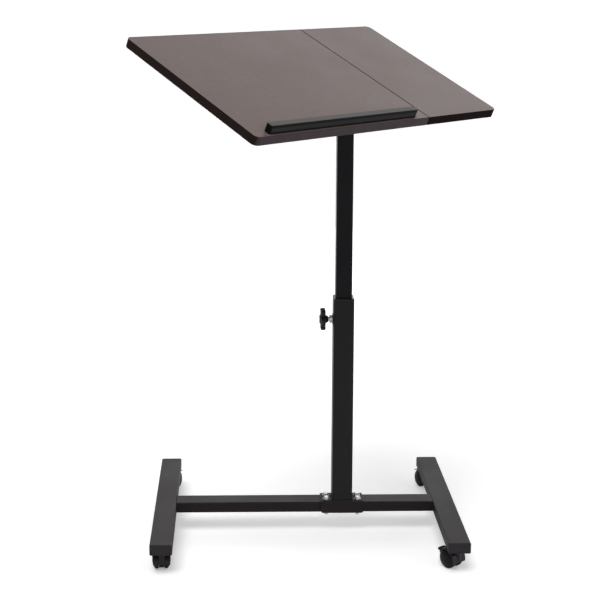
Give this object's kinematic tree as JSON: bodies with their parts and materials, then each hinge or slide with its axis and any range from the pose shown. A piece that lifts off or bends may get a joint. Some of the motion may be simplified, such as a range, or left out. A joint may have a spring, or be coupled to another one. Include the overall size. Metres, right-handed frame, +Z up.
{
  "type": "laptop table",
  "caption": "Tilting and swivelling laptop table: two boards on a height-adjustable square mast with a clamp knob, on a crossbar between two feet with swivel casters.",
  "frame": {"origin": "on the floor, under the middle of the resting table's bounding box", "axes": "+Z up, +X to the table's right as seen from the front, +Y to its back; the crossbar lies along X and the feet along Y"},
  "size_m": [0.6438, 0.659, 0.9416],
  "materials": {
    "board_laminate": "semi-gloss brown-grey laminate",
    "large_band_plastic": "satin dark edge banding",
    "small_band_plastic": "satin dark edge banding",
    "ledge_plastic": "satin black moulded plastic",
    "inner_tube_paint": "satin black powder coat",
    "outer_tube_paint": "satin black powder coat",
    "frame_paint": "satin black powder coat",
    "bracket_paint": "satin black powder coat",
    "collar_plastic": "moulded black plastic",
    "cap_plastic": "moulded black plastic",
    "knob_plastic": "moulded black plastic",
    "bolt_zinc": "zinc-plated steel",
    "nut_zinc": "zinc-plated steel",
    "stem_zinc": "zinc-plated steel",
    "washer_nylon": "natural nylon",
    "caster_plastic": "moulded black plastic",
    "brake_plastic": "moulded black plastic",
    "wheel_plastic": "hard black wheel plastic"
  },
  "bodies": {
    "base": {"left_foot": "frame_paint", "right_foot": "frame_paint", "crossbar": "frame_paint", "foot_end_caps": "cap_plastic", "crossbar_end_blocks": "nut_zinc", "foot_bolts": "bolt_zinc", "mast_saddle": "frame_paint", "saddle_bolts": "bolt_zinc", "saddle_nuts": "nut_zinc", "outer_tube": "outer_tube_paint", "mast_collar": "collar_plastic", "clamp_boss": "outer_tube_paint", "clamp_nut": "bolt_zinc", "caster_nuts": "nut_zinc", "caster_stems": "stem_zinc"},
    "mast": {"inner_tube": "inner_tube_paint", "mast_guide": "collar_plastic", "mast_head_plate": "inner_tube_paint"},
    "clamp_carrier": {"clamp_pad": "washer_nylon"},
    "clamp_knob": {"clamp_knob": "knob_plastic", "clamp_stud": "bolt_zinc"},
    "swivel": {"tilt_clevis": "bracket_paint", "swivel_bolt": "bolt_zinc", "swivel_lock_nut": "nut_zinc", "slip_washer": "washer_nylon", "pivot_sleeve": "nut_zinc", "friction_washers": "washer_nylon"},
    "top": {"large_board": "board_laminate", "small_board": "board_laminate", "large_edge_band": "large_band_plastic", "small_edge_band": "small_band_plastic", "stop_ledge": "ledge_plastic", "ledge_screws": "bolt_zinc", "front_rail": "bracket_paint", "rear_rail": "bracket_paint", "rail_screws": "bolt_zinc", "tilt_bracket": "bracket_paint", "pivot_bolt": "bolt_zinc"},
    "tilt_carrier": {"tilt_washer": "bolt_zinc"},
    "tilt_knob": {"tilt_knob": "knob_plastic"},
    "front_left_caster": {"front_left_caster_housing": "caster_plastic", "front_left_axle": "stem_zinc"},
    "front_left_wheel_a": {"front_left_wheel_a": "wheel_plastic"},
    "front_left_wheel_b": {"front_left_wheel_b": "wheel_plastic"},
    "front_left_brake": {"front_left_brake_lever": "brake_plastic"},
    "rear_left_caster": {"rear_left_caster_housing": "caster_plastic", "rear_left_axle": "stem_zinc"},
    "rear_left_wheel_a": {"rear_left_wheel_a": "wheel_plastic"},
    "rear_left_wheel_b": {"rear_left_wheel_b": "wheel_plastic"},
    "front_right_caster": {"front_right_caster_housing": "caster_plastic", "front_right_axle": "stem_zinc"},
    "front_right_wheel_a": {"front_right_wheel_a": "wheel_plastic"},
    "front_right_wheel_b": {"front_right_wheel_b": "wheel_plastic"},
    "front_right_brake": {"front_right_brake_lever": "brake_plastic"},
    "rear_right_caster": {"rear_right_caster_housing": "caster_plastic", "rear_right_axle": "stem_zinc"},
    "rear_right_wheel_a": {"rear_right_wheel_a": "wheel_plastic"},
    "rear_right_wheel_b": {"rear_right_wheel_b": "wheel_plastic"}
  },
  "joints": [
    {"name": "mast_height", "type": "slide", "parent": "base", "child": "mast", "axis": [0, 0, 1], "range_m": [-0.22, 0.085]},
    {"name": "top_swivel", "type": "hinge", "parent": "mast", "child": "swivel", "pos_m": [0.05567, 0.0998, 0.7937], "axis": [0, 0, 1], "continuous": true},
    {"name": "top_tilt", "type": "hinge", "parent": "swivel", "child": "top", "pos_m": [0.05567, 0.0998, 0.8367], "axis": [0.7278, 0.6858, 0], "range_deg": [-24.5, 15.5]},
    {"name": "mast_clamp_travel", "type": "slide", "parent": "base", "child": "clamp_carrier", "axis": [-1, 0, 0], "range_m": [0, 0.0019]},
    {"name": "mast_clamp_turn", "type": "hinge", "parent": "clamp_carrier", "child": "clamp_knob", "pos_m": [0.03667, 0.0998, 0.4115], "axis": [-1, 0, 0], "range_deg": [0, 550]},
    {"name": "tilt_clamp_travel", "type": "slide", "parent": "top", "child": "tilt_carrier", "axis": [-0.7278, -0.6858, 0], "range_m": [0, 0.0019]},
    {"name": "tilt_clamp_turn", "type": "hinge", "parent": "tilt_carrier", "child": "tilt_knob", "pos_m": [0.03671, 0.08193, 0.8367], "axis": [-0.7278, -0.6858, 0], "range_deg": [0, 550]},
    {"name": "front_left_swivel", "type": "hinge", "parent": "base", "child": "front_left_caster", "pos_m": [-0.27823, -0.0915, 0.039], "axis": [0, 0, 1], "continuous": true},
    {"name": "front_left_wheel_a_spin", "type": "hinge", "parent": "front_left_caster", "child": "front_left_wheel_a", "pos_m": [-0.27927, -0.07654, 0.0175], "axis": [-0.9976, -0.0698, 0], "continuous": true},
    {"name": "front_left_wheel_b_spin", "type": "hinge", "parent": "front_left_caster", "child": "front_left_wheel_b", "pos_m": [-0.27927, -0.07654, 0.0175], "axis": [-0.9976, -0.0698, 0], "continuous": true},
    {"name": "front_left_brake_press", "type": "hinge", "parent": "front_left_caster", "child": "front_left_brake", "pos_m": [-0.28007, -0.0651, 0.02553], "axis": [-0.9976, -0.0698, 0], "range_deg": [0, 8]},
    {"name": "rear_left_swivel", "type": "hinge", "parent": "base", "child": "rear_left_caster", "pos_m": [-0.27823, 0.3005, 0.039], "axis": [0, 0, 1], "continuous": true},
    {"name": "rear_left_wheel_a_spin", "type": "hinge", "parent": "rear_left_caster", "child": "rear_left_wheel_a", "pos_m": [-0.2746, 0.31505, 0.0175], "axis": [-0.9703, 0.2419, 0], "continuous": true},
    {"name": "rear_left_wheel_b_spin", "type": "hinge", "parent": "rear_left_caster", "child": "rear_left_wheel_b", "pos_m": [-0.2746, 0.31505, 0.0175], "axis": [-0.9703, 0.2419, 0], "continuous": true},
    {"name": "front_right_swivel", "type": "hinge", "parent": "base", "child": "front_right_caster", "pos_m": [0.24777, -0.0915, 0.039], "axis": [0, 0, 1], "continuous": true},
    {"name": "front_right_wheel_a_spin", "type": "hinge", "parent": "front_right_caster", "child": "front_right_wheel_a", "pos_m": [0.23854, -0.07968, 0.0175], "axis": [-0.788, -0.6157, 0], "continuous": true},
    {"name": "front_right_wheel_b_spin", "type": "hinge", "parent": "front_right_caster", "child": "front_right_wheel_b", "pos_m": [0.23854, -0.07968, 0.0175], "axis": [-0.788, -0.6157, 0], "continuous": true},
    {"name": "front_right_brake_press", "type": "hinge", "parent": "front_right_caster", "child": "front_right_brake", "pos_m": [0.23148, -0.07065, 0.02553], "axis": [-0.788, -0.6157, 0], "range_deg": [0, 8]},
    {"name": "rear_right_swivel", "type": "hinge", "parent": "base", "child": "rear_right_caster", "pos_m": [0.24777, 0.3005, 0.039], "axis": [0, 0, 1], "continuous": true},
    {"name": "rear_right_wheel_a_spin", "type": "hinge", "parent": "rear_right_caster", "child": "rear_right_wheel_a", "pos_m": [0.24264, 0.31459, 0.0175], "axis": [-0.9397, -0.342, 0], "continuous": true},
    {"name": "rear_right_wheel_b_spin", "type": "hinge", "parent": "rear_right_caster", "child": "rear_right_wheel_b", "pos_m": [0.24264, 0.31459, 0.0175], "axis": [-0.9397, -0.342, 0], "continuous": true}
  ],
  "couplings": [
    {"joint": "mast_clamp_turn", "follows": "mast_clamp_travel", "rad_per_m": 5026.5},
    {"joint": "tilt_clamp_turn", "follows": "tilt_clamp_travel", "rad_per_m": 5026.5}
  ]
}
